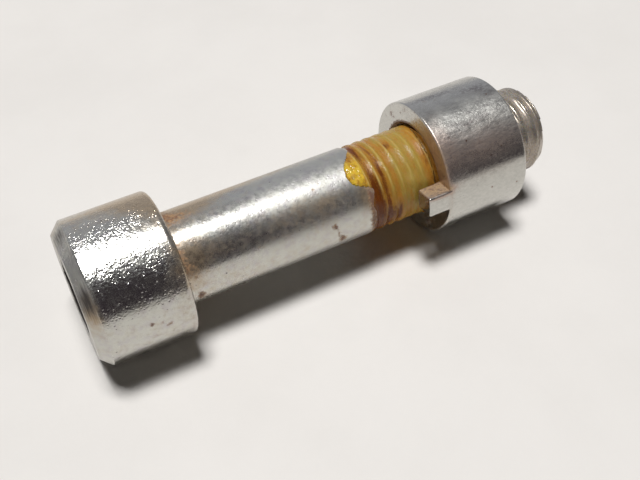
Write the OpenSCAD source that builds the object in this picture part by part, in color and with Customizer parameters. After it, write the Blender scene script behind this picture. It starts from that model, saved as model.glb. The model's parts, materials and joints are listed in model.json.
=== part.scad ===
// Saddle clamp bolt: a socket head bolt with a round nut that a key tab keeps from turning.
// It lies on its side along X, with the head at -X, the nut at +X and +Z up.
// The origin is on the axis, under the head.

/* [Bolt] */
// Diameter of the plain shank
shank_d = 8; // [7:0.1:9]
// Length of the bolt beyond the nut
end_length = 3.95; // [1.5:0.05:10]
// Chamfer on the bolt's end
tip_chamfer = 0.5; // [0.2:0.1:1.2]

/* [Thread] */
// Pitch of the right-hand thread
thread_pitch = 1; // [0.75:0.05:1.5]
// Depth of the thread's grooves, as they stand open above the old grease in them
thread_depth = 0.35; // [0.15:0.05:0.6]
// How much the thread's crests lie below the shank, on the diameter
thread_allowance = 0.1; // [0.04:0.02:0.3]
// Length of thread between the plain shank and the nut's face
thread_ahead = 6.35; // [4:0.05:15]
// Length over which the grooves run out towards the shank
run_out = 1; // [0.5:0.1:2]

/* [Head] */
// Diameter of the head
head_d = 12.3; // [11:0.1:16]
// Height of the head
head_height = 8; // [7:0.1:12]
// Chamfer round the head's end
head_chamfer = 0.9; // [0.3:0.1:1.4]
// Rounding of the head's rear rim
head_rounding = 0.4; // [0.2:0.05:0.7]
// Fillet between the head and the shank
neck_fillet = 0.3; // [0.1:0.05:0.5]

/* [Key socket] */
// Width of the hexagon across its flats
socket_flats = 6; // [5:0.1:6.5]
// Depth of the hexagon's flats below the head's end
socket_depth = 4.6; // [4.2:0.1:5.2]
// Width of the bevel along the edges of the socket's mouth
socket_edge = 0.1; // [0.05:0.05:0.3]
// Angle of the cone at the socket's bottom, from the end plane
socket_floor_angle = 30; // [10:1:35]
// Angle of one corner of the hexagon about the axis, from the top towards -Y
socket_turn = 20; // [0:1:59]

/* [Nut] */
// Diameter of the nut
nut_d = 12.2; // [11:0.1:16]
// Length of the nut's body
nut_length = 7.95; // [4:0.05:12]
// Grip between the head and the nut's face
grip = 23.35; // [18:0.05:40]
// Chamfer on the nut's two rims
nut_chamfer = 0.15; // [0.1:0.05:0.6]
// Gap between the nut's hole and the thread's crests, on the radius
thread_clearance = 0.05; // [0.02:0.01:0.1]
// Width of the cone at each end of the nut's hole
hole_chamfer = 0.35; // [0.15:0.05:0.5]

/* [Key tab] */
// Width of the tab across its flat sides
tab_width = 1.9; // [1:0.1:3]
// Length of the tab beyond the nut's face
tab_length = 2.1; // [1:0.1:4]
// Angle of the tab about the axis, from the top towards -Y
tab_angle = 79; // [0:1:359]

/* [Hidden] */
$fn = 96;

shank_r = shank_d / 2;
head_r = head_d / 2;
nut_r = nut_d / 2;

// Thread: its crests and roots, the step down from the shank, and where it starts and ends along X
thread_step = thread_allowance / 2;
crest_r = shank_r - thread_step;
root_r = crest_r - thread_depth;
thread_start = grip - thread_ahead;
bolt_end = grip + nut_length + end_length;

// Flat sides in one turn of the thread, and the turns hidden at each of its ends
thread_sides = 24;
spare_turns = 2;
// Crest and root of one pitch: [place along X in pitches from the crest's middle, radius]
crest_share = 0.2;
root_share = 0.3;
thread_section =
    [[-crest_share / 2, crest_r],
     [crest_share / 2, crest_r],
     [0.5 - root_share / 2, root_r],
     [0.5 + root_share / 2, root_r]];
section_corners = len(thread_section);
// Steps from the winding's first section to its last
thread_turns = ceil((bolt_end - thread_start) / thread_pitch) + 2 * spare_turns;
thread_steps = thread_turns * thread_sides;

// Nut: its hole, the hole's mouth, and its tab's front and its far face along X
hole_r = crest_r + thread_clearance;
mouth_r = hole_r + hole_chamfer;
tab_front = grip - tab_length;
nut_end = grip + nut_length;

// Socket: radius at the hexagon's flats, and its mouth and its floor along X
flat_r = socket_flats / 2;
head_end = -head_height;
socket_floor = head_end + socket_depth;

// Straight steps in an arc of a quarter turn
arc_steps = 6;
// Reach of a cut past the face that it opens
cut = 1;

// Points of an arc round a centre, from one angle to another
function arc(centre, radius, from, to) =
    [for (i = [0:arc_steps])
        let (a = from + (to - from) * i / arc_steps)
        centre + radius * [cos(a), sin(a)]];

// Turns an outline of [radius, place along X] points about X
module turned(points) {
    rotate([0, 90, 0])
        rotate_extrude()
            polygon(points);
}

// Corner of the thread's section after some steps of the winding; the crests pass the top at thread_start
function thread_point(step, corner) =
    let (turn = step / thread_sides,
         x = thread_start + (turn - spare_turns + thread_section[corner][0]) * thread_pitch,
         r = thread_section[corner][1])
    [x, -r * sin(360 * turn), r * cos(360 * turn)];

// Number of that point; the corner after a section's last is the first one a turn later
function thread_index(step, corner) =
    corner < section_corners
        ? step * section_corners + corner
        : (step + thread_sides) * section_corners;

// Open edge of the winding at one section: once round along the crest and back over the section
function thread_rim(step) = concat(
    [for (i = [0:thread_sides]) thread_index(step + i, 0)],
    [for (corner = [section_corners - 1:-1:0]) thread_index(step, corner)]);

// The threaded rod, closed at each end by a fan about a point on the axis
module thread_winding() {
    sections = [0:thread_steps + thread_sides];
    middles = [for (step = [0, thread_steps]) [thread_point(step + thread_sides / 2, 0)[0], 0, 0]];
    points = concat(
        [for (step = sections, corner = [0:section_corners - 1]) thread_point(step, corner)],
        middles);
    first_middle = len(points) - 2;
    first_rim = thread_rim(0);
    last_rim = thread_rim(thread_steps);
    polyhedron(points, concat(
        [for (step = [0:thread_steps - 1], corner = [0:section_corners - 1], half = [0, 1])
            half == 0
                ? [thread_index(step, corner), thread_index(step, corner + 1),
                   thread_index(step + 1, corner + 1)]
                : [thread_index(step, corner), thread_index(step + 1, corner + 1),
                   thread_index(step + 1, corner)]],
        [for (i = [0:len(first_rim) - 2]) [first_middle, first_rim[i], first_rim[i + 1]]],
        [for (i = [0:len(last_rim) - 2]) [first_middle + 1, last_rim[i + 1], last_rim[i]]]));
}

// The thread, cut off at the bolt's chamfered end
module thread() {
    intersection() {
        thread_winding();
        turned([[0, head_end],
                [shank_r, head_end],
                [shank_r, bolt_end - tip_chamfer - thread_step],
                [crest_r - tip_chamfer, bolt_end],
                [0, bolt_end]]);
    }
}

// The head and the shank before the socket is cut, with the cone on which the thread runs out
module bolt_blank() {
    cone_slope = (shank_r - root_r) / run_out;
    cone_end_r = root_r - thread_depth;
    turned(concat(
        [[0, head_end],
         [head_r - head_chamfer, head_end],
         [head_r, head_end + head_chamfer]],
        arc([head_r - head_rounding, -head_rounding], head_rounding, 0, 90),
        arc([shank_r + neck_fillet, neck_fillet], neck_fillet, 270, 180),
        [[shank_r, thread_start],
         [cone_end_r, thread_start + (shank_r - cone_end_r) / cone_slope],
         [0, thread_start + (shank_r - cone_end_r) / cone_slope]]));
}

// A hexagon bar along X from a place, with a radius at its flats for each end
module hexagon(place, length, first_r, last_r) {
    translate([place, 0, 0])
        rotate([socket_turn, 0, 0])
            rotate([0, 90, 0])
                cylinder(r1 = first_r / cos(30), r2 = last_r / cos(30), h = length, $fn = 6);
}

// Hexagon hole with a bevelled mouth and a drilled bottom
module key_socket() {
    hexagon(head_end - cut, cut + socket_depth, flat_r, flat_r);
    hexagon(head_end - cut, cut + socket_edge, flat_r + socket_edge + cut, flat_r);
    turned([[0, socket_floor - cut],
            [flat_r, socket_floor - cut],
            [flat_r, socket_floor],
            [0, socket_floor + flat_r * tan(socket_floor_angle)]]);
}

module bolt() {
    color([0.72, 0.71, 0.69])
        difference() {
            union() {
                bolt_blank();
                thread();
            }
            key_socket();
        }
}

// The nut before its face is milled, as long as the body and the tab together
module nut_blank() {
    turned([[mouth_r, tab_front],
            [nut_r, tab_front],
            [nut_r, nut_end - nut_chamfer],
            [nut_r - nut_chamfer, nut_end],
            [mouth_r, nut_end],
            [hole_r, nut_end - hole_chamfer],
            [hole_r, grip + hole_chamfer],
            [mouth_r, grip]]);
}

// What is milled off to leave the nut's face and its chamfered rim: all but the tab
module face_cut() {
    difference() {
        turned([[0, tab_front - cut],
                [nut_r + cut, tab_front - cut],
                [nut_r + cut, grip + nut_chamfer + cut],
                [nut_r - nut_chamfer, grip],
                [0, grip]]);
        rotate([tab_angle, 0, 0])
            translate([tab_front - 2 * cut, -tab_width / 2, 0])
                cube([nut_end - tab_front, tab_width, nut_d]);
    }
}

module nut() {
    color([0.55, 0.54, 0.53])
        difference() {
            nut_blank();
            face_cut();
        }
}

bolt();
nut();
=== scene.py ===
"""Looks of the saddle clamp bolt: a pitted chrome bolt, a greased fine thread and a worn nut with a tab."""

import json
import math

import bmesh
import bpy
import numpy as np
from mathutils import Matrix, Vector


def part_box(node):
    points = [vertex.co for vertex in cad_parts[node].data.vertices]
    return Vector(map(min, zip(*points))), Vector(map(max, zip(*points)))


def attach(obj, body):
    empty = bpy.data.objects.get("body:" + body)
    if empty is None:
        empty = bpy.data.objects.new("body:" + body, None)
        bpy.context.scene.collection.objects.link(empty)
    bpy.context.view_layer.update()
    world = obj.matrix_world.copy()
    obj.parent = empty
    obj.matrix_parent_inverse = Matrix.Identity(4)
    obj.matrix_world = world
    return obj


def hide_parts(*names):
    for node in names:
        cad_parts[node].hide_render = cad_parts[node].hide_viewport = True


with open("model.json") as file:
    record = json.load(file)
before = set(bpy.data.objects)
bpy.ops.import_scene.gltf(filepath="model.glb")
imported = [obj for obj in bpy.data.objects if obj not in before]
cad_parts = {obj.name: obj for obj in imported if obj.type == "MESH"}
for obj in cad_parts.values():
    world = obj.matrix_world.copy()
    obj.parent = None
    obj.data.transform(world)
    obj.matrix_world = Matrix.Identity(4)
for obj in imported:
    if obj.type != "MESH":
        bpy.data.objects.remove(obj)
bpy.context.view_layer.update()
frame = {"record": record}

# All sizes below are in millimetres, and angles run from the top (+Z) towards the camera's side (-Y).
MM = 0.001
FULL_TURN = 2.0 * math.pi
QUARTER_TURN = math.pi / 2.0
BOLT_LOW, BOLT_HIGH = (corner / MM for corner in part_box("bolt"))
NUT_LOW, NUT_HIGH = (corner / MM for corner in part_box("nut"))
MOUNTS = {mount["name"]: mount for mount in frame["record"]["mounts"]}

# Head and key socket
HEAD_END = BOLT_LOW.x
HEAD_R = BOLT_HIGH.z
HEAD_CHAMFER = 0.9
HEAD_ROUNDING = 0.4
FACE_EDGE_WEAR = 0.1
SIDE_EDGE_WEAR = 0.16
NECK_FILLET = 0.3
SOCKET_FLAT_R = 3.0
SOCKET_FLOOR = HEAD_END + 4.6
SOCKET_EDGE = 0.1
SOCKET_CONE_SLOPE = math.tan(math.radians(30))
SOCKET_TURN = math.radians(20)
# Radius on the head's face where the rows of points round the socket become circles
FACE_INNER_R = 4.3
# Rows of the socket, counted from its drilled point, that are painted near black as shade inside the hole
SHADED_SOCKET_ROWS = 17

# Shank and thread
SHANK_R = MOUNTS["shank"]["dims"]["r_mm"]
THREAD_START = MOUNTS["shank"]["dims"]["length_mm"]
CREST_STEP = 0.05
CREST_R = SHANK_R - CREST_STEP
PITCH = 1.0
THREAD_DEPTH = 0.35
CREST_SHARE = 0.2
FLANK_SHARE = 0.25
RUN_OUT = 1.0
BOLT_END = BOLT_HIGH.x
TIP_CHAMFER = 0.5

# Nut and its tab
NUT_R = NUT_HIGH.z
NUT_FACE = MOUNTS["nut_seat"]["pos_m"][0] / MM
NUT_END = NUT_HIGH.x
NUT_RIM = 0.15
TAB_FRONT = NUT_LOW.x
TAB_HALF_WIDTH = 0.95
TAB_TURN = math.radians(79)
TAB_WEAR = 0.15
# Turn from the tab's middle at which the columns beside it have fanned out evenly
TAB_FAN = math.radians(40)
THREAD_CLEARANCE = 0.05
BORE_R = CREST_R + THREAD_CLEARANCE
BORE_CHAMFER = 0.35
MOUTH_R = BORE_R + BORE_CHAMFER
GROOVE_DEPTH = 0.3
GROOVE_FADE = 0.5

# Film of grease: where it lies, how deep its inner side is sunk, and how it stands over the crests
GREASE_START = 15.2
GREASE_END = BOLT_END - 0.35
GREASE_SUNK = 0.03
GREASE_CREST_R = BORE_R - 0.018
GREASE_COVER = 0.012
GREASE_TRACE = 0.01
GREASE_EDGE_WIDTH = 0.35
GREASE_TAIL_WIDTH = 0.5
GREASE_EDGE_AT = THREAD_START + 0.2
FAR_EDGE_SHIFT = 0.5
# Lump of grease: its middle in degrees, how far it is pushed up the shank, its height and its unevenness
LUMP_TURN = 21.0
LUMP_LENGTH = 1.6
LUMP_FOOT = 0.03
LUMP_HEIGHT = 0.12
LUMP_UNEVEN = 0.055
# Fillet of grease at the nut's mouth, from one angle in degrees to another
FILLET_FROM = -14.0
FILLET_TO = 205.0

# Numbers of points: rows along the bolt, and columns round it
PROFILE_STEP = 0.3
THREAD_ROWS_A_PITCH = 14
BORE_ROWS_A_PITCH = 10
BOLT_COLUMNS = 192
GREASE_COLUMNS = 132
FILLET_COLUMNS = 120
# Bends of a quarter-round edge, and the same without its start
BENDS = [QUARTER_TURN * share for share in (0.0, 0.25, 0.5, 0.75, 1.0)]
LATER_BENDS = BENDS[1:]
# Edges that turn by more than this many degrees are shaded as hard ones
HARD_EDGE = 38


def smooth(low, high, value):
    """0 below low, 1 above high, and an S-shaped rise between them."""
    t = np.clip((value - low) / (high - low), 0.0, 1.0)
    return t * t * (3.0 - 2.0 * t)


def bell(middle, half, value):
    """1 at the middle, fading to both sides."""
    return np.exp(-((value - middle) / half) ** 2)


def ripples(seed, count, along, turn, wave):
    """A smooth random field over a round bar, about -1 to 1, with waves near the given length."""
    draw = np.random.default_rng(seed)
    total = np.zeros(np.broadcast(along, turn).shape)
    for _ in range(count):
        angle = draw.uniform(0.0, FULL_TURN)
        length = wave * draw.uniform(0.6, 1.6)
        rounds = round(FULL_TURN * SHANK_R / length * math.sin(angle))
        phase = draw.uniform(0.0, FULL_TURN)
        total += np.sin(FULL_TURN * along / length * math.cos(angle) + rounds * turn + phase)
    return total / math.sqrt(count)


def rounded(corners, steps=4):
    """Points of a profile whose corners (radius, place, rounding) are rounded off by short arcs."""
    points = []
    for index, (r, x, rounding) in enumerate(corners):
        here = Vector((r, x))
        if rounding == 0 or index in (0, len(corners) - 1):
            points.append(here)
            continue
        back = (Vector(corners[index - 1][:2]) - here).normalized()
        ahead = (Vector(corners[index + 1][:2]) - here).normalized()
        half = back.angle(ahead) / 2.0
        reach = rounding / math.tan(half)
        centre = here + (back + ahead).normalized() * (rounding / math.sin(half))
        first = here + back * reach - centre
        last = here + ahead * reach - centre
        for step in range(steps + 1):
            points.append(centre + first.slerp(last, step / steps).normalized() * rounding)
    return points


def spaced(points, step, edge=0.06):
    """The same profile with more points: close to each end of a long stretch, and evenly along it."""
    out = [points[0]]
    for a, b in zip(points, points[1:]):
        length = (b - a).length
        if length > 4.0 * edge:
            stops = np.linspace(edge, length - edge, max(2, math.ceil(length / step)))
            out.extend(a.lerp(b, stop / length) for stop in stops)
        out.append(b)
    return out


def degrees_from_top(turn):
    """The turn in degrees, from -180 to 180."""
    return np.degrees((turn + math.pi) % FULL_TURN - math.pi)


def even_turns(count):
    """Turns of evenly spaced columns, the first at the top."""
    return np.arange(count) * FULL_TURN / count


def around(r, x, turn):
    """Points at a radius, a place along the bolt and a turn from the top."""
    r, x, turn = np.broadcast_arrays(r, x, turn)
    return np.stack([x, -r * np.sin(turn), r * np.cos(turn)], axis=-1)


def thread_ridge(along, turn, crest=CREST_SHARE, flank=FLANK_SHARE):
    """1 on the crest of the right-hand thread, 0 in its root."""
    phase = (along - THREAD_START) / PITCH - turn / FULL_TURN
    off = np.abs((phase + 0.5) % 1.0 - 0.5)
    return 1.0 - smooth(crest / 2.0, crest / 2.0 + flank, off)


def thread_radius(along, turn):
    """Radius of the threaded end, whose grooves run out on a cone up to the shank."""
    thread = CREST_R - THREAD_DEPTH * (1.0 - thread_ridge(along, turn))
    cone = SHANK_R - (along - THREAD_START) * (SHANK_R - CREST_R + THREAD_DEPTH) / RUN_OUT
    return np.where(along < THREAD_START, SHANK_R, np.maximum(thread, cone))


def mesh_object(name, points, faces):
    """A mesh object made from points in millimetres."""
    mesh = bpy.data.meshes.new(name)
    mesh.from_pydata((np.asarray(points) * MM).tolist(), [], faces)
    mesh.validate()
    made = bpy.data.objects.new(name, mesh)
    bpy.context.scene.collection.objects.link(made)
    return made


def grid_faces(rows, columns, closed=False):
    """Quads between neighbouring rows of points that run right round the bolt."""
    faces = []
    for row in range(rows if closed else rows - 1):
        low = row * columns
        high = (row + 1) % rows * columns
        for column in range(columns):
            beside = (column + 1) % columns
            faces.append((low + column, low + beside, high + beside, high + column))
    return faces


def weld(made, distance):
    """Joins points that lie close together, deletes points without a face, and turns all faces outwards."""
    graph = bmesh.new()
    graph.from_mesh(made.data)
    bmesh.ops.remove_doubles(graph, verts=graph.verts, dist=distance * MM)
    bmesh.ops.dissolve_degenerate(graph, edges=graph.edges, dist=0.1 * distance * MM)
    loose = [vert for vert in graph.verts if not vert.link_faces]
    bmesh.ops.delete(graph, geom=loose, context="VERTS")
    bmesh.ops.recalc_face_normals(graph, faces=graph.faces)
    graph.to_mesh(made.data)
    graph.free()


def finish_shading(made):
    """Smooth shading with hard edges where the surface turns sharply."""
    made.data.shade_smooth()
    made.data.set_sharp_from_angle(angle=math.radians(HARD_EDGE))


def store(made, name, values):
    """Keeps one number a point on the mesh for its material."""
    layer = made.data.attributes.new(name, "FLOAT", "POINT")
    layer.data.foreach_set("value", np.asarray(values, np.float32).ravel())


def spot_field(points, spots):
    """Strength at each point of soft spots: place, turn in degrees, half sizes along and round, strength."""
    along = points[:, 0]
    turn = np.degrees(np.arctan2(-points[:, 1], points[:, 2]))
    total = np.zeros(len(points))
    for x, angle, half_x, half_angle, strength in spots:
        off = (turn - angle + 180.0) % 360.0 - 180.0
        total += strength * np.exp(-((along - x) / half_x) ** 2 - (off / half_angle) ** 2)
    return np.clip(total, 0.0, 1.0)


def hexagon(turn, flat_r):
    """Radius of the socket's hexagon at a turn."""
    side = FULL_TURN / 6.0
    return flat_r / np.cos((turn - SOCKET_TURN + 1e-9) % side - side / 2.0)


def socket_rows(turn):
    """Rows of the key socket from its drilled point to the turned part of the head's face."""
    ones = np.ones_like(turn)
    wall = hexagon(turn, SOCKET_FLAT_R)
    mouth = hexagon(turn, SOCKET_FLAT_R + SOCKET_EDGE)
    rows = []
    for share in (0.1, 0.4, 0.7, 0.95):
        r = SOCKET_FLAT_R * share
        rows.append((r * ones, (SOCKET_FLOOR + (SOCKET_FLAT_R - r) * SOCKET_CONE_SLOPE) * ones))
    for share in (0.0, 0.9, 1.0):
        rows.append((SOCKET_FLAT_R + (wall - SOCKET_FLAT_R) * share, SOCKET_FLOOR * ones))
    for share in np.linspace(0.03, 1.0, 9):
        rows.append((wall, (SOCKET_FLOOR + (HEAD_END + SOCKET_EDGE - SOCKET_FLOOR) * share) * ones))
    for share in (0.35, 0.7, 1.0):
        rows.append((wall + (mouth - wall) * share, (HEAD_END + SOCKET_EDGE * (1.0 - share)) * ones))
    for share in (0.06, 0.5):
        rows.append((mouth + (FACE_INNER_R - mouth) * share, HEAD_END * ones))
    return rows


def bolt_profile():
    """The turned outline of the bolt from the head's face to the thread's run-out."""
    corners = [
        (FACE_INNER_R, HEAD_END, 0),
        (HEAD_R - HEAD_CHAMFER, HEAD_END, FACE_EDGE_WEAR),
        (HEAD_R, HEAD_END + HEAD_CHAMFER, SIDE_EDGE_WEAR),
        (HEAD_R, 0.0, HEAD_ROUNDING),
        (SHANK_R, 0.0, NECK_FILLET),
        (SHANK_R, THREAD_START, 0),
    ]
    return spaced(rounded(corners), PROFILE_STEP)


def bolt_rows(turn):
    """All rows of the bolt's surface from the socket's point to the tip."""
    ones = np.ones_like(turn)
    rows = socket_rows(turn)
    rows.extend((point.x * ones, point.y * ones) for point in bolt_profile())
    step = PITCH / THREAD_ROWS_A_PITCH
    for x in np.arange(THREAD_START + step, BOLT_END - 0.01, step):
        tip = CREST_R - TIP_CHAMFER + BOLT_END - x
        rows.append((np.minimum(thread_radius(x, turn), tip), x * ones))
    last = rows[-1][0]
    for share in (0.97, 0.85, 0.5, 0.15):
        rows.append((last * share, BOLT_END * ones))
    return rows


# Rust that has broken through the chrome, mostly under the head and in small specks
RUST_SPOTS = [
    (0.5, -28, 0.6, 26, 0.6),
    (1.4, -10, 1.4, 14, 0.75),
    (0.4, 40, 0.45, 22, 0.7),
    (0.9, 62, 0.8, 14, 0.5),
    (1.05, 100, 0.3, 8, 1.5),
    (13.22, 76, 0.26, 5.0, 1.3),
    (13.75, 89, 0.15, 10.0, 1.2),
    (14.0, 101, 0.34, 6.0, 1.3),
    (12.4, 22, 0.16, 2.5, 0.9),
    (-3.65, 81, 0.22, 2.4, 1.0),
    (-2.9, 83, 0.2, 1.6, 0.9),
    (-2.3, 87, 0.3, 1.8, 0.9),
    (17.1, 52, 0.5, 12, 0.6),
    (17.05, 84, 0.42, 40, 0.95),
    (1.2, 190, 1.4, 50, 0.6),
]

# Thin brown films over the chrome, and along the underside a yellowish film that is a painted warm reflection
# of the table
STAIN_AND_WARM_REFLECTION_SPOTS = [
    (-5.0, -34, 4.0, 26, 0.6),
    (-1.6, -30, 2.0, 24, 1.0),
    (-7.5, 56, 0.6, 16, 0.9),
    (-0.6, -16, 1.2, 30, 0.6),
    (2.0, -16, 2.4, 20, 0.9),
    (4.5, -32, 4.5, 16, 0.7),
    (10.0, -36, 5.0, 9, 0.35),
    (0.8, 48, 1.6, 30, 0.9),
    (4.0, 46, 5.0, 16, 0.4),
    (12.0, 44, 4.0, 18, 0.6),
    (16.8, 52, 0.9, 20, 1.0),
    # Painted warm reflection: a yellowish tint along the whole underside
    (4.0, 100, 16.0, 34, 0.22),
    (1.5, 200, 5.0, 60, 0.6),
]

# Dark patches, mostly on the chamfer round the head's face, with one in the corner under the head, and dirt
# on the end faces
DARK_PATCH_SPOTS = [
    (-7.5, 46, 0.5, 16, 1.0),
    (-7.5, -14, 0.5, 15, 0.75),
    (-7.6, 170, 0.5, 50, 0.4),
    # Darker in the corner under the head
    (0.1, 60, 0.16, 60, 0.5),
    (HEAD_END, 0, 0.1, 400, 0.2),
    (BOLT_END, 0, 0.2, 400, 0.45),
]

# Where the chrome is pitted most
PIT_SPOTS = [
    (-5.5, 1, 2.3, 13, 1.2),
    (-2.4, -5, 2.4, 9, 0.9),
    (-1.9, 41, 1.9, 12, 0.6),
    (-5.6, 35, 1.8, 11, 0.65),
    (-4.0, 180, 6.0, 60, 0.6),
]


def build_bolt():
    """Head with key socket, shank and cut thread as one closed surface."""
    turn = SOCKET_TURN + even_turns(BOLT_COLUMNS)
    rows = bolt_rows(turn)
    points = np.concatenate([around(r, x, turn) for r, x in rows])
    count = len(points)
    apex = (SOCKET_FLOOR + SOCKET_FLAT_R * SOCKET_CONE_SLOPE, 0.0, 0.0)
    points = np.vstack([points, apex, (BOLT_END, 0.0, 0.0)])
    faces = grid_faces(len(rows), BOLT_COLUMNS)
    final = (len(rows) - 1) * BOLT_COLUMNS
    for column in range(BOLT_COLUMNS):
        beside = (column + 1) % BOLT_COLUMNS
        faces.append((count, beside, column))
        faces.append((count + 1, final + column, final + beside))
    made = mesh_object("bolt_dressed", points, faces)
    store(made, "rust", spot_field(points, RUST_SPOTS))
    # The stain includes a painted warm reflection along the underside
    store(made, "stain", spot_field(points, STAIN_AND_WARM_REFLECTION_SPOTS))
    store(made, "pitted", spot_field(points, PIT_SPOTS))
    # The key socket is painted near black all over as shade inside the hole; elsewhere only the listed dark
    # patches
    in_shaded_socket = np.arange(len(points)) < SHADED_SOCKET_ROWS * BOLT_COLUMNS
    in_shaded_socket[count] = True
    store(made, "grime_and_shade", np.where(in_shaded_socket, 1.0, spot_field(points, DARK_PATCH_SPOTS)))
    weld(made, 1e-4)
    finish_shading(made)
    return made


def lump_shape(turn):
    """1 along the line where a lump of grease stands on the shank, fading to both sides."""
    off = degrees_from_top(turn) - LUMP_TURN
    upper = np.exp(-np.abs(off / 27.0) ** 2.7)
    lower = np.exp(-np.abs(off / 19.5) ** 4.8)
    return np.where(off < 0.0, upper, lower)


def grease_edge(turn):
    """Where the grease starts: round the thread's start, with one lump pushed up the shank."""
    angle = degrees_from_top(turn)
    far_side = smooth(-12.0, -60.0, angle)
    wobble = 0.04 * np.sin(9.0 * turn + 0.7) + 0.025 * np.sin(23.0 * turn + 2.0)
    wobble += 0.14 * bell(51.0, 6.0, angle) - 0.1 * bell(66.0, 9.0, angle)
    return GREASE_EDGE_AT - LUMP_LENGTH * lump_shape(turn) + FAR_EDGE_SHIFT * far_side + wobble


def grease_level(along, turn):
    """Radius of the grease over the thread: it sags between the crests, least at the nut's face."""
    bare = smooth(30.5, 32.0, along)
    bead = smooth(NUT_FACE - 1.0, NUT_FACE - 0.3, along) * smooth(NUT_FACE + 1.3, NUT_FACE + 0.6, along)
    sag = 0.055 + 0.075 * smooth(20.6, 18.6, along) + 0.06 * bare
    sag = sag * (1.0 - 0.85 * bead) * (1.0 + 0.35 * ripples(5, 9, along, turn, 2.6))
    level = GREASE_CREST_R - 0.025 * bare - sag * (1.0 - thread_ridge(along, turn, 0.04, 0.34))
    return level + 0.006 * (ripples(8, 12, along, turn, 0.8) - 1.5)


def lump_level(along, turn):
    """Radius of the lump of grease on the shank."""
    heap = lump_shape(turn) * smooth(THREAD_START + 0.5, THREAD_START - 0.3, along)
    return SHANK_R + LUMP_FOOT + heap * (LUMP_HEIGHT + LUMP_UNEVEN * ripples(3, 16, along, turn, 0.5))


def closed_notches(thick):
    """The film's thickness with a trace of film in notches one point wide, where it would be pinched."""
    there = thick > 0.0
    beside = there[:-1] | there[1:]
    face = beside | np.roll(beside, -1, axis=1)
    pinched = ~there[:-1] & ~there[1:] & face & np.roll(face, 1, axis=1)
    closed = thick.copy()
    closed[1:][pinched] = GREASE_TRACE
    return closed


def grease_rows(along, turn):
    """Inner and outer radius of the grease and its thickness, which is 0 where there is none."""
    inner = thread_radius(along, turn) - GREASE_SUNK
    level = grease_level(along, turn)
    lump = lump_level(along, turn)
    outer = lump + (level - lump) * smooth(THREAD_START - 0.1, THREAD_START + 0.45, along)
    outer = np.maximum(outer, inner + GREASE_SUNK + GREASE_COVER)
    inside = along - grease_edge(turn)
    edge = np.clip(inside / GREASE_EDGE_WIDTH, 0.0, 1.0)
    tail = np.clip((GREASE_END - along + 0.1 * np.sin(3.0 * turn)) / GREASE_TAIL_WIDTH, 0.0, 1.0)
    thick = (outer - inner) * np.sqrt(edge * (2.0 - edge)) * tail
    thick = closed_notches(np.where((inside > 0.0) & (tail > 0.0), np.maximum(thick, 0.0), 0.0))
    return inner, inner + thick, thick


# Dark, rusty patches in the grease; the one at the nut's face is partly painted shade where the grease meets
# the nut
DIRT_AND_SHADE_SPOTS = [
    (17.3, -25, 0.5, 24, 0.8),
    (20.2, 0, 0.45, 9, 0.9),
    (18.4, 12, 0.8, 16, 0.2),
    (18.0, 48, 0.9, 24, 0.5),
    (17.4, 88, 1.0, 36, 1.0),
    (19.3, 96, 0.9, 22, 0.6),
    (20.6, 105, 2.2, 24, 0.2),
    # Partly painted shade: darker where the grease meets the nut's face
    (23.1, 30, 0.45, 60, 1.0),
    (18.8, 170, 1.6, 50, 0.8),
]

# Pale smears on the grease
PALE_SPOTS = [
    (21.1, 51, 0.5, 6, 0.8),
    (22.3, 58, 0.4, 5, 0.5),
]


def both_sides(values):
    """The same numbers for the film's outer and its inner side."""
    return np.tile(values.ravel(), 2)


def mark_grease(made, points, along, turn):
    """Stores where the film lies on crests, with a painted highlight on their upper side, and in grooves,
    where it is a lump and where it is dirty, partly as painted shade at the nut.
    """
    angle = degrees_from_top(turn)
    # Painted highlight: the crests are coloured pale mostly on the upper side, where the lamp glints on them
    painted_glint_window = 0.06 + 0.94 * smooth(-30.0, 5.0, angle) * smooth(66.0, 38.0, angle)
    crest = thread_ridge(along, turn, 0.02, 0.13) * painted_glint_window
    groove = 1.0 - thread_ridge(along, turn, 0.3, 0.3)
    heap = lump_shape(turn) * smooth(THREAD_START + 0.3, THREAD_START - 0.2, along)
    heap = heap * smooth(-4.0, 14.0, angle)
    pale = spot_field(points, PALE_SPOTS)
    store(made, "crest", np.clip(both_sides(crest) + pale, 0.0, 1.0))
    store(made, "groove", both_sides(groove))
    store(made, "lump", both_sides(heap))
    store(made, "dirt_and_shade", spot_field(points, DIRT_AND_SHADE_SPOTS))


def build_grease():
    """A closed film of grease that fills the thread and stands up in a lump at its start."""
    turn = even_turns(GREASE_COLUMNS)
    along = np.arange(GREASE_START, GREASE_END + 0.4, PITCH / THREAD_ROWS_A_PITCH)[:, None]
    inner, outer, thick = grease_rows(along, turn)
    outside = around(outer, along, turn).reshape(-1, 3)
    inside = around(inner, along, turn).reshape(-1, 3)
    points = np.concatenate([outside, inside])
    there = (thick > 0.0).ravel()
    count = len(there)
    faces = [face for face in grid_faces(*thick.shape) if there[list(face)].any()]
    faces += [tuple(count + corner for corner in reversed(face)) for face in faces]
    made = mesh_object("grease", points, faces)
    mark_grease(made, points, along, turn)
    weld(made, 1e-5)
    made.data.shade_smooth()
    return made


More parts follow.
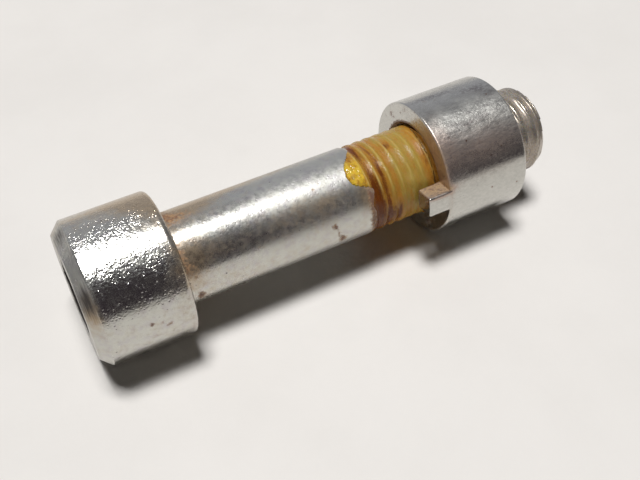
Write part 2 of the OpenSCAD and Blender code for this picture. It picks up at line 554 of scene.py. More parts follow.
def fillet_rows(turn):
    """Rows round the fillet's section: over its hollow front, then back along the nut's face and hole."""
    ends = np.sin(np.linspace(0.0, math.pi, len(turn)))
    uneven = 0.8 + 0.14 * np.sin(7.0 * turn) + 0.08 * np.sin(17.0 * turn)
    full = np.clip(3.0 * ends, 0.0, 1.0) * uneven
    reach = 0.04 + 0.18 * full
    rise = 0.06 + 0.38 * full
    rows = []
    for share in np.linspace(0.0, 1.0, 8):
        rows.append((BORE_R - 0.028 + rise * share ** 3.0, NUT_FACE - reach * (1.0 - share) ** 2.0 - 0.012))
    rows.append((BORE_R + rise, NUT_FACE - 0.002))
    rows.append((np.minimum(BORE_R + rise, MOUTH_R) - 0.02, NUT_FACE + 0.03))
    rows.append((BORE_R + 0.012, NUT_FACE + BORE_CHAMFER - 0.02))
    return [around(r, x, turn) for r, x in rows]


def build_mouth_grease():
    """Grease squeezed out of the nut's mouth: a hollow fillet from the thread up to the nut's face."""
    count = FILLET_COLUMNS
    ring = np.stack(fillet_rows(np.radians(np.linspace(FILLET_FROM, FILLET_TO, count))))
    faces = []
    for row in range(len(ring)):
        low = row * count
        high = (row + 1) % len(ring) * count
        for column in range(count - 1):
            faces.append((low + column, high + column, high + column + 1, low + column + 1))
    faces.append(tuple(row * count for row in range(len(ring))))
    faces.append(tuple(row * count + count - 1 for row in reversed(range(len(ring)))))
    made = mesh_object("mouth_grease", ring.reshape(-1, 3), faces)
    weld(made, 1e-5)
    # The mouth fillet is darkened all over: brown dirt, and partly painted shade where it meets the nut
    for name, value in (("crest", 0.0), ("groove", 0.0), ("lump", 0.0), ("dirt_and_shade", 0.8)):
        store(made, name, np.full(len(made.data.vertices), value))
    made.data.shade_smooth()
    return made


def tab_places():
    """Places across the tab, closer together on its two worn edges."""
    edge = TAB_HALF_WIDTH - TAB_WEAR * (1.0 - np.cos(BENDS[:-1]))
    flat = np.linspace(-1.0, 1.0, 7) * (TAB_HALF_WIDTH - TAB_WEAR)
    return np.concatenate([-edge, flat, edge[::-1]])


def worn_back(place):
    """How far the tab's worn edge lies back at a place across it."""
    inside = min(TAB_HALF_WIDTH - abs(place), TAB_WEAR)
    return TAB_WEAR - math.sqrt(max(0.0, TAB_WEAR ** 2 - (TAB_WEAR - inside) ** 2))


def nut_columns():
    """Kind and value of the nut's columns: across the tab, a fan on each side of it, and the rest evenly."""
    across = [("tab", place) for place in tab_places()]
    after = [("after", share) for share in np.linspace(0.0, 1.0, 15)]
    rest = [("plain", turn) for turn in np.linspace(TAB_FAN, FULL_TURN - TAB_FAN, 142)[1:-1]]
    before = [("before", share) for share in np.linspace(1.0, 0.0, 15)]
    return across + after + rest + before


def column_turn(kind, value, r):
    """The turn of one of the nut's columns at each radius."""
    if kind == "tab":
        return TAB_TURN + np.arcsin(value / r)
    if kind == "plain":
        return np.full_like(r, TAB_TURN + value)
    edge = np.arcsin(TAB_HALF_WIDTH / r)
    off = edge + (TAB_FAN - edge) * value
    return TAB_TURN + off if kind == "after" else TAB_TURN - off


def bore_points(kind, value):
    """Points of a column along the nut's grooved hole, from its rear end to its mouth."""
    x = np.arange(NUT_END - BORE_CHAMFER, NUT_FACE + BORE_CHAMFER, -PITCH / BORE_ROWS_A_PITCH)
    turn = column_turn(kind, value, np.full(len(x), BORE_R))
    fade = smooth(0.0, GROOVE_FADE, x - NUT_FACE - BORE_CHAMFER)
    fade = fade * smooth(0.0, GROOVE_FADE, NUT_END - BORE_CHAMFER - x)
    r = BORE_R + GROOVE_DEPTH * fade * (1.0 - thread_ridge(x, turn))
    edge = 0.04
    mouth = [(BORE_R, NUT_FACE + BORE_CHAMFER), (MOUTH_R - edge, NUT_FACE + edge), (MOUTH_R, NUT_FACE)]
    return list(zip(r, x)) + mouth


def front_points(front, back, outside, corner):
    """Points of a column from the hole's mouth to the front, outwards over it and round its corner."""
    inside = MOUTH_R + back
    points = [(inside, NUT_FACE + (front - NUT_FACE) * share) for share in (0.3, 0.65, 1.0)]
    points += [(inside + (outside - inside) * share, front) for share in np.linspace(0.08, 1.0, 13)]
    for bend in LATER_BENDS:
        points.append((outside + corner * math.sin(bend), front + corner * (1.0 - math.cos(bend))))
    return points


def tab_side_points(start, back):
    """Points of a column along the tab's outer side, up to the nut's own side."""
    end = NUT_FACE + NUT_RIM
    points = [(NUT_R - back, start + (end - start) * share) for share in (0.25, 0.5, 0.75)]
    return points + [(NUT_R, end)]


def front_rim_points():
    """Points of a column round the rim of the nut's face."""
    points = []
    for bend in LATER_BENDS:
        points.append((NUT_R - NUT_RIM * (1.0 - math.sin(bend)), NUT_FACE + NUT_RIM * (1.0 - math.cos(bend))))
    return points


def rear_points():
    """Points of a column along the nut's side, round its rear rim and inwards over its rear face."""
    margin = NUT_RIM + 0.06
    points = [(NUT_R, place) for place in np.linspace(NUT_FACE + margin, NUT_END - margin, 22)]
    for bend in BENDS:
        points.append((NUT_R - NUT_RIM * (1.0 - math.cos(bend)), NUT_END - NUT_RIM * (1.0 - math.sin(bend))))
    outer = NUT_R - NUT_RIM
    return points + [(outer + (MOUTH_R - outer) * share, NUT_END) for share in (0.1, 0.5, 0.9, 1.0)]


def nut_column(kind, value):
    """Radius and place of every point of one column of the nut, right round its section."""
    if kind == "tab":
        back = worn_back(value)
        front = TAB_FRONT + back
        corner = TAB_WEAR - back
        middle = front_points(front, back, NUT_R - TAB_WEAR, corner) + tab_side_points(front + corner, back)
    else:
        middle = front_points(NUT_FACE, 0.0, NUT_R - NUT_RIM, 0.0) + front_rim_points()
    return np.array(bore_points(kind, value) + middle + rear_points()).T


# Where the nut's plating is rubbed dull
RUBBED_SPOTS = [
    (27.5, 24, 9.0, 28, 1.0),
    (28.0, -30, 5.0, 20, 0.45),
    (23.35, 45, 0.12, 32, 0.9),
    (27.0, 180, 9.0, 50, 0.8),
]

# Tan film on the nut: on the tab's upper side, on the camera's side and along the rim of the face
NUT_STAIN_SPOTS = [
    (22.3, 68, 1.1, 3.2, 1.4),
    (27.0, 46, 6.0, 17, 0.24),
    (24.0, 30, 0.8, 22, 0.15),
    (23.35, 50, 0.2, 34, 0.35),
]

# Dark smears on the nut
SMEAR_SPOTS = [
    (26.0, -18, 2.6, 4, 0.8),
    (29.5, -8, 1.6, 5, 0.8),
    (30.4, 2, 0.8, 8, 0.7),
    (24.4, 33, 0.7, 4, 1.0),
    (25.6, 27, 0.8, 3, 0.7),
    (26.9, 23, 0.8, 3, 0.9),
    (28.4, 22, 1.0, 3, 0.7),
    (24.4, 4, 0.6, 8, 0.5),
]

# Rusty marks on the nut's side
MARK_SPOTS = [
    (25.1, -14, 0.12, 1.0, 1.0),
    (27.2, 40, 0.1, 0.9, 0.8),
]

# Rusty marks on the nut's face: turn in degrees, radius, half size and strength
FACE_MARKS = [
    (-51, 5.2, 0.24, 1.0),
    (-47, 4.95, 0.14, 0.9),
    (-23, 5.57, 0.18, 0.9),
    (-31, 5.2, 0.12, 0.7),
    (140, 5.1, 0.3, 0.9),
    (-120, 5.4, 0.25, 0.9),
]


def face_field(points):
    """Strength at each point of the marks on the nut's face."""
    total = np.zeros(len(points))
    for angle, r, half, strength in FACE_MARKS:
        middle = around(r, NUT_FACE, math.radians(angle))
        total += strength * np.exp(-np.sum((points - middle) ** 2, axis=1) / half ** 2)
    return total


def tab_edge_field(points):
    """1 on the worn outer edges of the tab."""
    across = np.abs(-points[:, 1] * math.cos(TAB_TURN) - points[:, 2] * math.sin(TAB_TURN))
    r = np.hypot(points[:, 1], points[:, 2])
    beside = smooth(TAB_HALF_WIDTH - TAB_WEAR, TAB_HALF_WIDTH - 0.5 * TAB_WEAR, across)
    outer = smooth(NUT_R - 1.2 * TAB_WEAR, NUT_R - 0.8 * TAB_WEAR, r)
    return beside * outer * (points[:, 0] < NUT_FACE)


def crust_and_shade_field(points):
    """1 in the mouth of the nut's hole, fading out over the nut's face: crust there, and partly painted shade
    in the mouth's gap.
    """
    r = np.hypot(points[:, 1], points[:, 2])
    # Reaches further over the face at the top, where the dark gap in the mouth is painted as shade
    upper = 0.55 + 0.45 * points[:, 2] / np.maximum(r, 0.1)
    reach = MOUTH_R + 0.1 + 0.35 * upper
    return smooth(reach, reach - 0.5, r) * smooth(NUT_FACE + 1.0, NUT_FACE + 0.3, points[:, 0])


def mark_nut(made):
    """Stores where the nut is rubbed, worn, stained, smeared, marked with rust, and crusted and painted with
    shade in its mouth.
    """
    points = np.array([vert.co / MM for vert in made.data.vertices])
    worn = tab_edge_field(points)
    store(made, "rubbed", spot_field(points, RUBBED_SPOTS))
    store(made, "worn", worn * smooth(TAB_FRONT + 0.2, TAB_FRONT + 0.5, points[:, 0]))
    store(made, "stain", spot_field(points, NUT_STAIN_SPOTS) * (1.0 - 0.8 * worn))
    store(made, "smear", spot_field(points, SMEAR_SPOTS))
    store(made, "mark", np.clip(spot_field(points, MARK_SPOTS) + face_field(points), 0.0, 1.0))
    store(made, "crust_and_shade", crust_and_shade_field(points))


def build_nut():
    """Round nut with a grooved hole, rounded rims and one milled tab with worn edges."""
    columns = nut_columns()
    sections = [nut_column(kind, value) for kind, value in columns]
    turns = [column_turn(kind, value, r) for (kind, value), (r, _) in zip(columns, sections)]
    r = np.stack([section[0] for section in sections], axis=1)
    x = np.stack([section[1] for section in sections], axis=1)
    points = around(r, x, np.stack(turns, axis=1)).reshape(-1, 3)
    made = mesh_object("nut_dressed", points, grid_faces(*r.shape, closed=True))
    weld(made, 1e-4)
    finish_shading(made)
    mark_nut(made)
    return made


class Nodes:
    """Short calls that add nodes to one node tree and link them."""

    def __init__(self, tree):
        self.tree = tree
        tree.nodes.clear()

    def add(self, kind, inputs=None, **settings):
        node = self.tree.nodes.new(kind)
        for name, value in settings.items():
            setattr(node, name, value)
        for socket, value in (inputs or {}).items():
            self.feed(node.inputs[socket], value)
        return node

    def feed(self, socket, value):
        if isinstance(value, bpy.types.NodeSocket):
            self.tree.links.new(value, socket)
        else:
            socket.default_value = value

    def millimetres(self):
        coordinates = self.add("ShaderNodeTexCoord").outputs["Object"]
        scaled = self.add("ShaderNodeVectorMath", {0: coordinates, "Scale": 1.0 / MM}, operation="SCALE")
        return scaled.outputs["Vector"]

    def part(self, vector, axis):
        return self.add("ShaderNodeSeparateXYZ", {0: vector}).outputs[axis]

    def stretched(self, vector, scale):
        return self.add("ShaderNodeMapping", {"Vector": vector, "Scale": scale}).outputs[0]

    def noise(self, vector, scale, detail=3.0, rough=0.55, bend=0.0):
        inputs = {"Vector": vector, "Scale": scale, "Detail": detail, "Roughness": rough, "Distortion": bend}
        return self.add("ShaderNodeTexNoise", inputs).outputs[0]

    def cells(self, vector, scale):
        return self.add("ShaderNodeTexVoronoi", {"Vector": vector, "Scale": scale}).outputs["Distance"]

    def turned_rings(self, vector, scale):
        inputs = {"Vector": vector, "Scale": scale, "Distortion": 0.8, "Detail": 3.0, "Detail Scale": 1.5}
        return self.add("ShaderNodeTexWave", inputs, wave_type="RINGS", rings_direction="X").outputs["Fac"]

    def attribute(self, name):
        return self.add("ShaderNodeAttribute", attribute_name=name).outputs["Fac"]

    def between(self, value, low, high, start=0.0, end=1.0):
        inputs = {"Value": value, "From Min": low, "From Max": high, "To Min": start, "To Max": end}
        return self.add("ShaderNodeMapRange", inputs, interpolation_type="SMOOTHSTEP").outputs[0]

    def math(self, operation, a, b):
        return self.add("ShaderNodeMath", {0: a, 1: b}, operation=operation).outputs[0]

    def times(self, a, b):
        return self.math("MULTIPLY", a, b)

    def plus(self, a, b, share=None):
        return self.math("ADD", a, b if share is None else self.times(b, share))

    def minus(self, a, b):
        return self.math("SUBTRACT", a, b)

    def larger(self, a, b):
        return self.math("MAXIMUM", a, b)

    def centred(self, value):
        return self.minus(value, 0.5)

    def mix(self, share, a, b):
        node = self.add("ShaderNodeMix", {0: share}, data_type="RGBA")
        self.feed(node.inputs[6], a)
        self.feed(node.inputs[7], b)
        return node.outputs[2]

    def bump(self, height, depth):
        inputs = {"Height": height, "Distance": depth * MM, "Strength": 1.0}
        return self.add("ShaderNodeBump", inputs).outputs[0]

    def surface(self, inputs):
        shader = self.add("ShaderNodeBsdfPrincipled", inputs)
        output = self.add("ShaderNodeOutputMaterial")
        self.tree.links.new(shader.outputs[0], output.inputs["Surface"])


def new_material(name):
    """An empty node material and its node calls."""
    made = bpy.data.materials.new(name)
    made.use_nodes = True
    return made, Nodes(made.node_tree)


CHROME = (0.57, 0.567, 0.522, 1.0)
# Brown film, and along the underside a painted warm reflection
STAINED_CHROME = (0.45, 0.355, 0.25, 1.0)
TARNISH = (0.48, 0.45, 0.47, 1.0)
# Near black: dirt, and painted shade in the key socket
GRIME_AND_SHADE = (0.035, 0.028, 0.026, 1.0)
THREAD_STEEL = (0.56, 0.52, 0.47, 1.0)
RUST = (0.15, 0.05, 0.02, 1.0)
RUST_LIGHT = (0.42, 0.24, 0.11, 1.0)
CHROME_RELIEF = 0.035


def bolt_rust(n, mm):
    """How much rust covers the chrome, and the rust's colour."""
    spots = n.attribute("rust")
    patch = n.noise(mm, scale=3.2, detail=7.0, rough=0.7)
    cover = n.between(n.plus(spots, n.centred(patch), 2.0), 0.25, 0.95)
    cover = n.times(cover, n.between(spots, 0.05, 0.4))
    light = n.between(n.noise(mm, scale=5.0, detail=4.0, rough=0.6), 0.36, 0.64)
    light = n.times(light, n.between(spots, 0.8, 1.0, 1.0, 0.15))
    return cover, n.mix(light, RUST, RUST_LIGHT)


def bolt_stain_and_warm_reflection(n, mm):
    """How much brown film lies on the chrome, with a painted warm reflection along the underside, and how
    much that film dulls it.
    """
    cloud = n.noise(mm, scale=0.9, detail=6.0, rough=0.66, bend=0.4)
    blots = n.centred(n.noise(mm, scale=2.4, detail=5.0, rough=0.65))
    stain = n.plus(n.attribute("stain"), n.centred(cloud), 1.1)
    stain = n.between(n.plus(stain, blots, 0.8), 0.0, 1.0)
    return stain, n.times(stain, n.between(blots, -0.22, 0.24, 0.1, 0.36))


def bolt_grime_and_shade(n, mm):
    """How much the chrome is darkened: painted shade filling the key socket, the listed dark patches and dirt
    as streaks round the bolt, and a few specks of dirt elsewhere.
    """
    spots = n.attribute("grime_and_shade")
    streaks = n.noise(n.stretched(mm, (6.0, 0.35, 0.35)), scale=2.0, detail=3.0, rough=0.6)
    grime_and_shade = n.between(n.plus(spots, n.centred(streaks), 0.9), 0.1, 1.0)
    grime_and_shade = n.times(grime_and_shade, n.between(spots, 0.02, 0.2))
    patch = n.between(n.noise(mm, scale=0.8, detail=3.0, rough=0.6), 0.55, 0.66, 0.0, 0.8)
    specks = n.times(n.between(n.cells(mm, 1.9), 0.18, 0.08), patch)
    return n.larger(grime_and_shade, specks)


def bolt_relief(n, mm, on_head):
    """Height of the chrome: waves, wrinkles and pits, mostly on the head, fine scratches and turned ends."""
    pitted = n.attribute("pitted")
    strength = n.between(pitted, 0.0, 1.0, 0.4, 2.4)
    peel = n.noise(mm, scale=2.6, detail=2.0, rough=0.5)
    wrinkle = n.noise(mm, scale=6.0, detail=1.5, rough=0.5)
    patch = n.between(n.noise(mm, scale=1.3, detail=2.0), 0.36, 0.6)
    pits = n.times(n.between(n.cells(mm, 3.6), 0.4, 0.08), patch)
    relief = n.times(peel, strength)
    relief = n.plus(relief, n.times(wrinkle, n.between(pitted, 0.0, 1.0, 0.28, 1.9)))
    relief = n.minus(relief, n.times(pits, strength))
    relief = n.times(relief, n.between(on_head, 0.0, 1.0, 0.3, 1.0))
    scratches = n.noise(n.stretched(mm, (0.5, 7.0, 7.0)), scale=2.0, detail=3.0, rough=0.6)
    relief = n.plus(relief, scratches, 0.06)
    along = n.part(mm, "X")
    on_face = n.between(along, HEAD_END + 0.05, HEAD_END + 0.01)
    on_tip = n.between(along, BOLT_END - 0.05, BOLT_END - 0.01)
    on_ends = n.times(n.plus(on_face, on_tip), 0.8)
    return n.plus(relief, n.times(n.turned_rings(mm, 1.3), on_ends))


def bolt_roughness(n, mm, on_head, rust, grime_and_shade):
    """Roughness of the chrome: duller towards the thread, on the head's chamfer, in rust, in dirt and in the
    painted shade of the key socket.
    """
    along = n.part(mm, "X")
    chamfer_end = HEAD_END + HEAD_CHAMFER
    mottle = n.centred(n.noise(mm, scale=2.2, detail=7.0, rough=0.75))
    rough = n.between(along, 4.0, 11.0, 0.265, 0.38)
    rough = n.plus(rough, mottle, 0.45)
    rough = n.plus(rough, on_head, -0.05)
    rough = n.plus(rough, n.between(along, chamfer_end + 0.05, chamfer_end - 0.15), 0.16)
    rough = n.plus(rough, rust, 0.35)
    return n.plus(rough, grime_and_shade, 0.3)


def bolt_material():
    """Chrome pitted on the head, hazy on the shank and stained brown, tinted yellow along the underside as a
    painted warm reflection, with rust where it has broken.
    """
    made, n = new_material("pitted_chrome")
    mm = n.millimetres()
    along = n.part(mm, "X")
    on_head = n.between(along, 0.1, -0.1)
    on_thread = n.between(along, THREAD_START - 0.4, THREAD_START + 0.4)
    rust, rust_colour = bolt_rust(n, mm)
    stain, haze = bolt_stain_and_warm_reflection(n, mm)
    grime_and_shade = bolt_grime_and_shade(n, mm)
    tarnish = n.between(n.noise(mm, scale=1.3, detail=4.0, rough=0.6), 0.42, 0.7, 0.0, 0.6)
    colour = n.mix(tarnish, CHROME, TARNISH)
    colour = n.mix(stain, colour, STAINED_CHROME)
    colour = n.mix(on_thread, colour, THREAD_STEEL)
    colour = n.mix(n.times(rust, 0.85), colour, rust_colour)
    # Dirt and dark patches, and painted shade filling the key socket
    colour = n.mix(n.times(grime_and_shade, 0.97), colour, GRIME_AND_SHADE)
    covered = n.larger(n.times(n.larger(rust, grime_and_shade), 0.85), haze)
    n.surface({
        "Base Color": colour,
        "Metallic": n.minus(1.0, covered),
        "Roughness": bolt_roughness(n, mm, on_head, rust, grime_and_shade),
        "Normal": n.bump(bolt_relief(n, mm, on_head), CHROME_RELIEF),
    })
    return made


NUT_PLATING = (0.58, 0.57, 0.535, 1.0)
NUT_DULL = (0.51, 0.505, 0.47, 1.0)
NUT_SMUDGE = (0.23, 0.205, 0.205, 1.0)
NUT_TINT = (0.46, 0.38, 0.37, 1.0)
NUT_STAIN = (0.56, 0.37, 0.17, 1.0)
# Dark brown: crust and stain patches, and painted shade in the mouth of the nut's hole
NUT_CRUST_AND_SHADE = (0.20, 0.105, 0.05, 1.0)
NUT_RELIEF = 0.025


def nut_plating(n, mm, fine, rubbed):
    """Colour of the plating with its dull clouds and dark smears."""
    smears = n.noise(n.stretched(mm, (0.35, 1.3, 1.3)), scale=1.6, detail=6.0, rough=0.7, bend=0.6)
    smears = n.times(n.between(smears, 0.45, 0.68), n.between(rubbed, 0.0, 1.0, 0.1, 0.5))
    marks = n.times(n.attribute("smear"), n.between(fine, 0.35, 0.6))
    plating = n.mix(n.between(fine, 0.35, 0.65), NUT_PLATING, NUT_DULL)
    return n.mix(n.larger(smears, marks), plating, NUT_SMUDGE)


def nut_film(n, mm, fine, colour):
    """How much tan film lies on the nut, and the nut's colour with it."""
    stain = n.attribute("stain")
    film = n.times(stain, n.between(fine, 0.3, 0.6, 0.7, 1.0))
    patch = n.between(n.noise(mm, scale=3.4, detail=4.0, rough=0.65), 0.48, 0.72)
    colour = n.mix(n.between(stain, 0.0, 0.3, 0.0, 0.9), colour, NUT_TINT)
    return film, n.mix(film, colour, n.mix(patch, NUT_STAIN, NUT_CRUST_AND_SHADE))


def nut_rust(n, mm, colour):
    """How much rust and crust lie on the nut, the crust partly painted shade in the hole's mouth, and the
    nut's colour with them.
    """
    broken = n.noise(mm, scale=3.0, detail=4.0, rough=0.65)
    patch = n.between(n.noise(mm, scale=0.7, detail=3.0, rough=0.6), 0.5, 0.6, 0.0, 0.8)
    specks = n.times(n.between(n.cells(mm, 1.3), 0.16, 0.07), patch)
    rusty = n.times(n.attribute("mark"), n.between(broken, 0.4, 0.58))
    colour = n.mix(n.larger(specks, rusty), colour, RUST)
    mouth = n.attribute("crust_and_shade")
    crust_and_shade = n.between(n.plus(mouth, n.centred(broken), 1.6), 0.3, 0.75)
    crust_and_shade = n.times(crust_and_shade, n.between(mouth, 0.02, 0.3))
    return rusty, crust_and_shade, n.mix(n.times(crust_and_shade, 0.9), colour, NUT_CRUST_AND_SHADE)


def nut_relief(n, mm, fine, scratches, rubbed):
    """Height of the plating: waves, fine dents and scratches along the bolt, mostly where it is rubbed."""
    waves = n.noise(n.stretched(mm, (0.45, 1.0, 1.0)), scale=1.7, detail=3.0, rough=0.5)
    relief = n.plus(n.times(fine, 1.25), scratches, 0.25)
    relief = n.plus(relief, waves, 1.8)
    return n.times(relief, n.between(rubbed, 0.0, 1.0, 0.1, 1.0))


def nut_roughness(n, mm, fine, scratches, rubbed):
    """Roughness of the plating: duller where it is rubbed and on the tab's worn edges, in soft clouds."""
    clouds = n.noise(n.stretched(mm, (0.55, 1.0, 1.0)), scale=1.1, detail=6.0, rough=0.62, bend=0.4)
    rough = n.between(rubbed, 0.0, 1.0, 0.2, 0.38)
    rough = n.plus(rough, n.centred(clouds), 0.4)
    rough = n.plus(rough, n.centred(fine), 0.3)
    rough = n.plus(rough, n.centred(scratches), 0.15)
    return n.plus(rough, n.attribute("worn"), 0.2)


def nut_material():
    """Plating rubbed dull in soft clouds, with a thin tan film, dark smears, rust and fine scratches."""
    made, n = new_material("worn_plating")
    mm = n.millimetres()
    rubbed = n.attribute("rubbed")
    fine = n.noise(n.stretched(mm, (0.6, 1.0, 1.0)), scale=5.0, detail=5.0, rough=0.65)
    scratches = n.noise(n.stretched(mm, (0.25, 6.0, 6.0)), scale=1.5, detail=4.0, rough=0.65)
    colour = nut_plating(n, mm, fine, rubbed)
    film, colour = nut_film(n, mm, fine, colour)
    rusty, crust_and_shade, colour = nut_rust(n, mm, colour)
    covered = n.larger(n.larger(film, crust_and_shade), rusty)
    n.surface({
        "Base Color": colour,
        "Metallic": n.minus(1.0, n.times(covered, 0.9)),
        "Roughness": nut_roughness(n, mm, fine, scratches, rubbed),
        "Normal": n.bump(nut_relief(n, mm, fine, scratches, rubbed), NUT_RELIEF),
    })
    return made


GREASE_OLIVE = (0.41, 0.265, 0.055, 1.0)
GREASE_AMBER = (0.42, 0.20, 0.03, 1.0)
GREASE_BROWN = (0.15, 0.04, 0.005, 1.0)
GREASE_YELLOW = (0.74, 0.48, 0.05, 1.0)
# Pale: thin grease and smears, and a painted highlight on the crests
GREASE_THIN_AND_GLINT = (0.66, 0.47, 0.16, 1.0)
GREASE_GREY = (0.45, 0.39, 0.33, 1.0)
GREASE_SOOT = (0.20, 0.165, 0.13, 1.0)
GREASE_RELIEF = 0.03
# How deep light spreads in the grease, in red, green and blue
GREASE_SPREAD = (1.0, 0.55, 0.15)
GREASE_SPREAD_SIZE = 0.4


def grease_dirt_and_shade(n, along, streaks, flecks):
    """How dirty the grease is: in spots, streaks and flecks, near the thread's start and in its grooves,
    where the darkening is partly painted shade between the crests, as it is at the nut's face.
    """
    early = n.between(along, 21.3, 17.8)
    dirt_and_shade_amount = n.plus(n.attribute("dirt_and_shade"), n.centred(streaks), 1.5)
    dirt_and_shade_amount = n.plus(dirt_and_shade_amount, early, 0.3)
    dirt_and_shade_amount = n.plus(dirt_and_shade_amount, n.centred(flecks), 0.8)
    # Darker in the grooves: dirt, and partly painted shade between the crests
    return n.plus(dirt_and_shade_amount, n.times(n.attribute("groove"), n.between(early, 0.0, 1.0, 0.2, 0.5)))


def grease_colour(n, mm, along, streaks, thin):
    """Colour of the grease: olive, brown with dirt and with painted shade in the grooves and at the nut, pale
    on crests with a painted highlight on their upper side, yellow in the lump, grey where thin.
    """
    flecks = n.noise(mm, scale=7.0, detail=5.0, rough=0.7)
    dirt_and_shade_amount = grease_dirt_and_shade(n, along, streaks, flecks)
    colour = n.mix(n.between(dirt_and_shade_amount, 0.0, 0.55), GREASE_OLIVE, GREASE_AMBER)
    # Brown for dirt, and as painted shade in the grooves and where the grease meets the nut
    colour = n.mix(n.between(dirt_and_shade_amount, 0.55, 1.25), colour, GREASE_BROWN)
    # Pale crests: thin grease, and a painted highlight on their upper side
    crest = n.times(n.attribute("crest"), n.between(streaks, 0.3, 0.6, 0.2, 0.8))
    crest = n.times(crest, n.between(along, 22.0, 19.5, 0.6, 1.0))
    colour = n.mix(crest, colour, GREASE_THIN_AND_GLINT)
    patch = n.between(n.noise(mm, scale=2.4, detail=3.0), 0.36, 0.56, 0.15, 1.0)
    colour = n.mix(n.times(n.attribute("lump"), patch), colour, GREASE_YELLOW)
    bare = n.mix(n.between(flecks, 0.45, 0.68, 0.0, 0.75), GREASE_GREY, GREASE_SOOT)
    return n.mix(thin, colour, bare)


def grease_relief(n, mm, thin):
    """Height of the grease: fine grain on the film and small beads on the lump."""
    lump = n.attribute("lump")
    grain = n.noise(mm, scale=5.5, detail=4.0, rough=0.65)
    grain = n.times(grain, n.between(thin, 0.0, 1.0, 1.2, 0.5))
    grain = n.times(grain, n.between(lump, 0.0, 0.6, 1.0, 0.0))
    beads = n.noise(mm, scale=6.6, detail=1.0, rough=0.5)
    return n.plus(grain, n.times(beads, n.between(lump, 0.1, 0.6, 0.0, 1.25)))


def grease_roughness(n, mm, thin):
    """Roughness of the grease: glossy on the crests and the lump, duller in the grooves."""
    rough = n.between(n.noise(mm, scale=1.7, detail=4.0, rough=0.6), 0.35, 0.7, 0.14, 0.26)
    rough = n.plus(rough, n.attribute("groove"), 0.14)
    rough = n.plus(rough, thin, 0.1)
    rough = n.plus(rough, n.attribute("crest"), -0.12)
    rough = n.plus(rough, n.attribute("lump"), -0.26)
    return n.larger(rough, 0.07)


def grease_material():
    """Old grease over the thread, worn thin beyond the nut so that the metal below shows."""
    made, n = new_material("old_grease")
    mm = n.millimetres()
    along = n.part(mm, "X")
    streaks = n.noise(n.stretched(mm, (1.6, 0.35, 0.35)), scale=2.2, detail=6.0, rough=0.66, bend=0.5)
    thin = n.between(n.plus(along, n.centred(streaks), 5.0), 29.2, 31.2)
    n.surface({
        "Base Color": grease_colour(n, mm, along, streaks, thin),
        "Metallic": n.times(thin, 0.65),
        "Roughness": grease_roughness(n, mm, thin),
        "Normal": n.bump(grease_relief(n, mm, thin), GREASE_RELIEF),
        "IOR": 1.45,
        "Specular IOR Level": 0.27,
        "Subsurface Weight": 0.4,
        "Subsurface Radius": GREASE_SPREAD,
        "Subsurface Scale": GREASE_SPREAD_SIZE * MM,
    })
    return made


FLOOR_COLOUR = (0.82, 0.79, 0.755, 1.0)
FLOOR_SHADE = (0.79, 0.76, 0.725, 1.0)
FLOOR_RELIEF = 0.03
FLOOR_Z = -max(HEAD_R, NUT_R)
FLOOR_HALF = 3000.0


def floor_material():
    """A pale table top with a faint, uneven tone."""
    made, n = new_material("pale_table")
    mm = n.millimetres()
    tone = n.noise(mm, scale=0.05, detail=5.0, rough=0.6)
    grain = n.noise(mm, scale=0.9, detail=4.0, rough=0.6)
    n.surface({
        "Base Color": n.mix(n.between(tone, 0.35, 0.65), FLOOR_COLOUR, FLOOR_SHADE),
        "Roughness": 0.7,
        "Normal": n.bump(grain, FLOOR_RELIEF),
        "Specular IOR Level": 0.2,
    })
    return made


def add_floor(material):
    """The table top that the bolt lies on."""
    corners = [(x * FLOOR_HALF, y * FLOOR_HALF, FLOOR_Z) for x, y in ((-1, -1), (1, -1), (1, 1), (-1, 1))]
    made = mesh_object("floor", corners, [(0, 1, 2, 3)])
    made.data.materials.append(material)


# The lamp's measures are in metres and watts
LAMP_HEIGHT = 1.5
LAMP_SIZE = 0.37
LAMP_POWER = 23.1
LAMP_SHIFT = Vector((-0.065, 0.06, 0.0))
LAMP_AIM = Vector((0.012, 0.0, 0.0))


def add_lamp():
    """One soft panel almost straight above the bolt."""
    data = bpy.data.lights.new("panel", "AREA")
    data.shape = "SQUARE"
    data.size = LAMP_SIZE
    data.energy = LAMP_POWER
    lamp = bpy.data.objects.new("panel", data)
    lamp.location = LAMP_AIM + LAMP_SHIFT + Vector((0.0, 0.0, LAMP_HEIGHT))
    lamp.rotation_euler = (LAMP_AIM - lamp.location).to_track_quat("-Z", "Y").to_euler()
    bpy.context.scene.collection.objects.link(lamp)


FAR_SKY = (0.45, 0.46, 0.50, 1.0)
HIGH_SKY = (0.17, 0.17, 0.18, 1.0)
NEAR_SKY = (0.045, 0.037, 0.042, 1.0)
ROOM_GLOW = 0.05


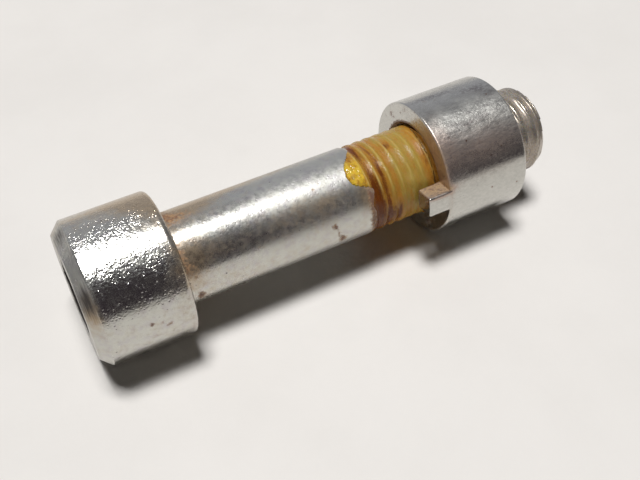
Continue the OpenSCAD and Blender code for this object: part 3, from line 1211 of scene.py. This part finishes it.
def set_world():
    """A plain room, light on the far side and dark on the camera's: whole in reflections, dim as a lamp."""
    world = bpy.data.worlds.new("room")
    world.use_nodes = True
    bpy.context.scene.world = world
    n = Nodes(world.node_tree)
    direction = n.add("ShaderNodeTexCoord").outputs["Generated"]
    aside = n.part(direction, "Y")
    colour = n.mix(n.between(aside, 0.85, 0.3), FAR_SKY, HIGH_SKY)
    colour = n.mix(n.between(aside, -0.4, -0.78), colour, NEAR_SKY)
    path = n.add("ShaderNodeLightPath").outputs
    seen = n.larger(path["Is Camera Ray"], path["Is Glossy Ray"])
    seen = n.larger(seen, path["Is Transmission Ray"])
    strength = n.between(seen, 0.0, 1.0, ROOM_GLOW, 1.0)
    sky = n.add("ShaderNodeBackground", {"Color": colour, "Strength": strength})
    output = n.add("ShaderNodeOutputWorld")
    world.node_tree.links.new(sky.outputs[0], output.inputs["Surface"])


# The camera's places are in millimetres like the rest, and its clipping distances in metres
CAMERA_AT = Vector((-10.235, -45.244, 53.162))
CAMERA_TARGET = Vector((11.886, -3.752, 0.0))
FOCAL_PIXELS = 850.4
FRAME_PIXELS = 640.0
SENSOR_WIDTH = 36.0
CLIP_START = 0.001
CLIP_END = 20.0


def add_camera():
    """The camera at the photograph's viewing angle."""
    data = bpy.data.cameras.new("camera")
    data.sensor_fit = "HORIZONTAL"
    data.sensor_width = SENSOR_WIDTH
    data.lens = SENSOR_WIDTH * FOCAL_PIXELS / FRAME_PIXELS
    data.clip_start = CLIP_START
    data.clip_end = CLIP_END
    camera = bpy.data.objects.new("camera", data)
    camera.location = CAMERA_AT * MM
    camera.rotation_euler = (CAMERA_TARGET - CAMERA_AT).to_track_quat("-Z", "Y").to_euler()
    bpy.context.scene.collection.objects.link(camera)
    bpy.context.scene.camera = camera


bolt = build_bolt()
bolt.data.materials.append(bolt_material())
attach(bolt, "bolt")
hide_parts("bolt")

old_grease = grease_material()
grease = build_grease()
grease.data.materials.append(old_grease)
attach(grease, "bolt")

mouth_grease = build_mouth_grease()
mouth_grease.data.materials.append(old_grease)
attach(mouth_grease, "nut")

nut = build_nut()
nut.data.materials.append(nut_material())
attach(nut, "nut")
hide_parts("nut")

add_floor(floor_material())
add_lamp()
set_world()
add_camera()
bpy.context.scene.view_settings.view_transform = "Standard"
